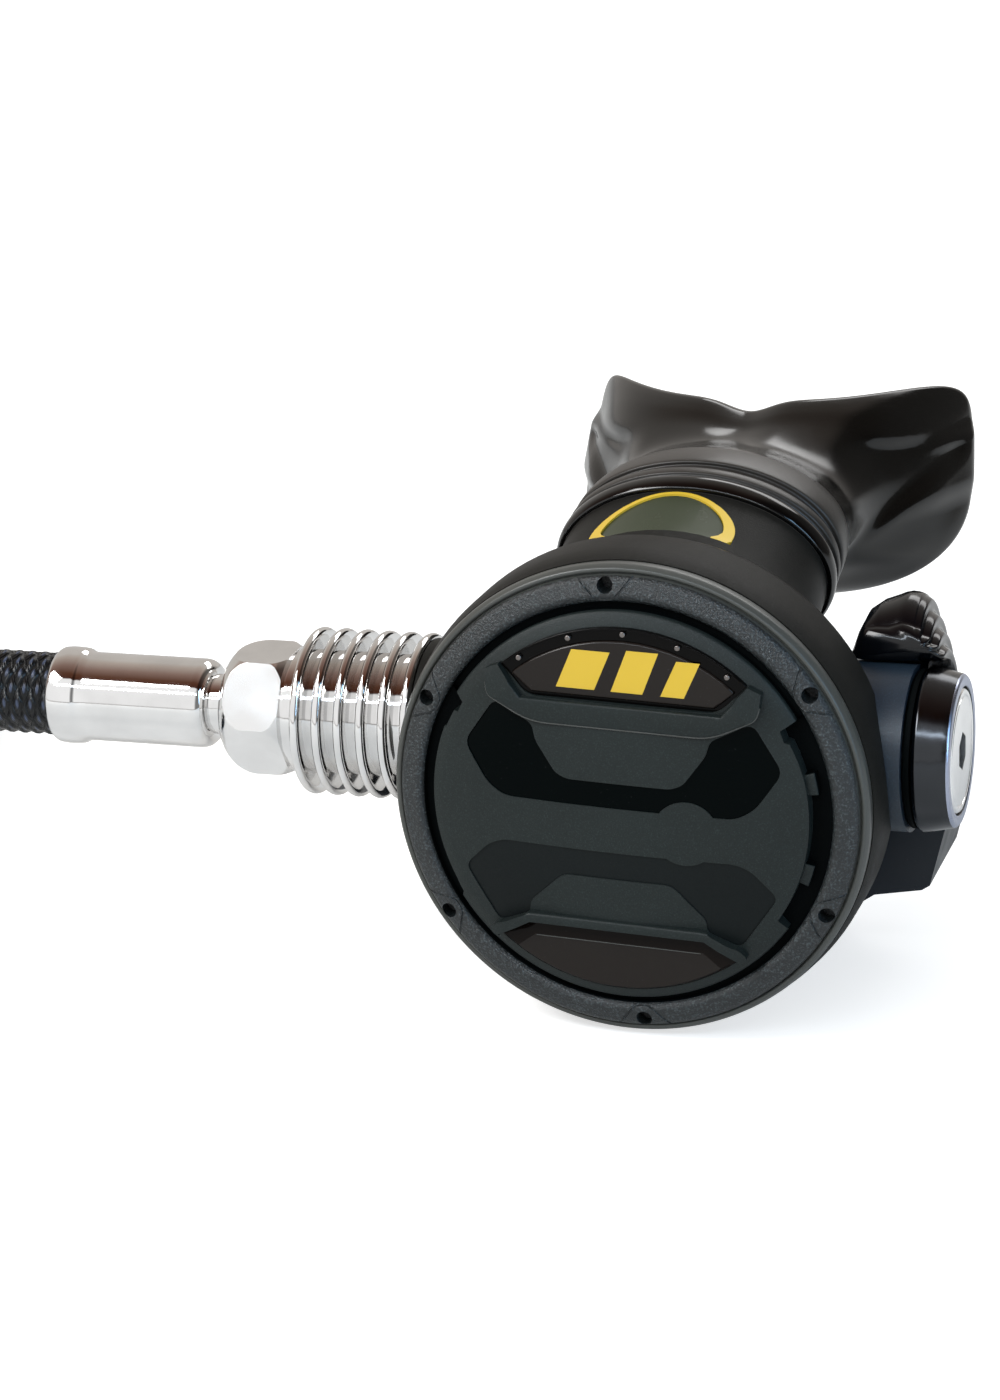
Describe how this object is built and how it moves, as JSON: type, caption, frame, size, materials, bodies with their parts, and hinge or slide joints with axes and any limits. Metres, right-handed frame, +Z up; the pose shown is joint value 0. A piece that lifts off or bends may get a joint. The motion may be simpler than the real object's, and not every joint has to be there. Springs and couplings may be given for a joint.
{
  "type": "scuba regulator second stage",
  "caption": "Diver's demand valve with a sprung purge cover, finned inlet, airflow lever, exhaust tee and mouthpiece, on a coiled braided hose.",
  "frame": {"origin": "centre of the second stage's footprint, on the floor it rests on; the hose and its fittings are left out of the count", "axes": "+X along the valve barrel from the hose to the adjusting screw, +Y from the purge cover to the mouthpiece, +Z up"},
  "size_m": [0.3574, 0.1588, 0.0777],
  "materials": {
    "case_plastic": "matte moulded, dark warm grey",
    "ring_plastic": "satin, sparkle grain on the band",
    "purge_plastic": "satin grain",
    "inlay_gloss": "polished black",
    "inlay_matte": "matte black",
    "window_plastic": "polished brown black",
    "frame_gloss": "gloss black",
    "lever_plastic": "gloss black",
    "exhaust_plastic": "satin blue black",
    "mouth_silicone": "glossy black silicone",
    "clear_silicone": "translucent grey silicone",
    "black_rubber": "matt",
    "chrome": "bright chrome on brass",
    "anodised": "satin black anodised",
    "steel": "stainless",
    "plain_brass": "machined",
    "white_acetal": "machined",
    "amber_plastic": "moulded",
    "grille_plastic": "matte black",
    "badge_yellow": "gloss yellow",
    "badge_field": "gloss dark green",
    "braid": "black braided nylon with a slight glint"
  },
  "bodies": {
    "case": {"case_body": "case_plastic", "cover_ring": "ring_plastic", "cover_plate": "grille_plastic", "diaphragm": "clear_silicone", "purge_spring": "steel", "valve_barrel": "chrome", "heat_sink": "chrome", "orifice": "plain_brass", "orifice_o_ring": "black_rubber", "poppet_spring": "steel", "spring_carrier": "amber_plastic", "barrel_o_ring_left": "black_rubber", "barrel_o_ring_right": "black_rubber", "barrel_nut": "anodised", "exhaust_valve": "black_rubber", "exhaust_tee": "exhaust_plastic", "neck_badge_frame": "badge_yellow", "neck_badge_plate": "badge_field", "mouthpiece": "mouth_silicone", "mouthpiece_clamp": "frame_gloss", "hose_nut": "chrome", "hose_stem": "chrome", "stem_o_ring": "black_rubber", "hose_ferrule": "chrome", "hose": "braid", "hose_coil": "braid", "far_ferrule": "chrome", "far_fitting": "chrome", "far_o_ring": "black_rubber"},
    "purge_button": {"purge_cover": "purge_plastic", "upper_bezel": "frame_gloss", "upper_lens": "window_plastic", "upper_inlay": "inlay_gloss", "lower_inlay": "inlay_matte", "lower_lens": "window_plastic"},
    "diaphragm_disc": {"diaphragm_plate": "steel"},
    "valve_lever": {"demand_lever": "steel"},
    "poppet_valve": {"poppet": "white_acetal", "poppet_seat": "black_rubber", "poppet_nut": "steel", "tail_o_ring": "black_rubber"},
    "venturi": {"venturi_lever": "lever_plastic", "venturi_vane": "grille_plastic"},
    "adjuster": {"adjust_screw": "chrome", "screw_o_ring": "black_rubber"}
  },
  "joints": [
    {"name": "purge_press", "type": "slide", "parent": "case", "child": "purge_button", "axis": [0, 1, 0], "range_m": [0, 0.0035], "stiffness_N_per_m": 600, "springref_m": -0.002, "deforming": ["purge_spring"]},
    {"name": "disc_push", "type": "slide", "parent": "case", "child": "diaphragm_disc", "axis": [0, 1, 0], "range_m": [0, 0.0035], "deforming": ["diaphragm"]},
    {"name": "lever_turn", "type": "hinge", "parent": "case", "child": "valve_lever", "pos_m": [0.0213, -0.0345, 0.0399], "axis": [0, 0, 1], "range_deg": [-17, 0]},
    {"name": "poppet_open", "type": "slide", "parent": "case", "child": "poppet_valve", "axis": [1, 0, 0], "range_m": [0, 0.0012], "deforming": ["poppet_spring"]},
    {"name": "airflow_turn", "type": "hinge", "parent": "case", "child": "venturi", "pos_m": [0.0483, -0.0275, 0.0399], "axis": [-1, 0, 0], "range_deg": [0, 40]},
    {"name": "adjust_turn", "type": "hinge", "parent": "case", "child": "adjuster", "pos_m": [0.0523, -0.0275, 0.0399], "axis": [1, 0, 0], "range_deg": [-360, 360]}
  ],
  "couplings": [
    {"joint": "disc_push", "follows": "purge_press", "ratio": 1},
    {"joint": "lever_turn", "follows": "purge_press", "rad_per_m": -82.8},
    {"joint": "poppet_open", "follows": "purge_press", "ratio": 0.34}
  ]
}
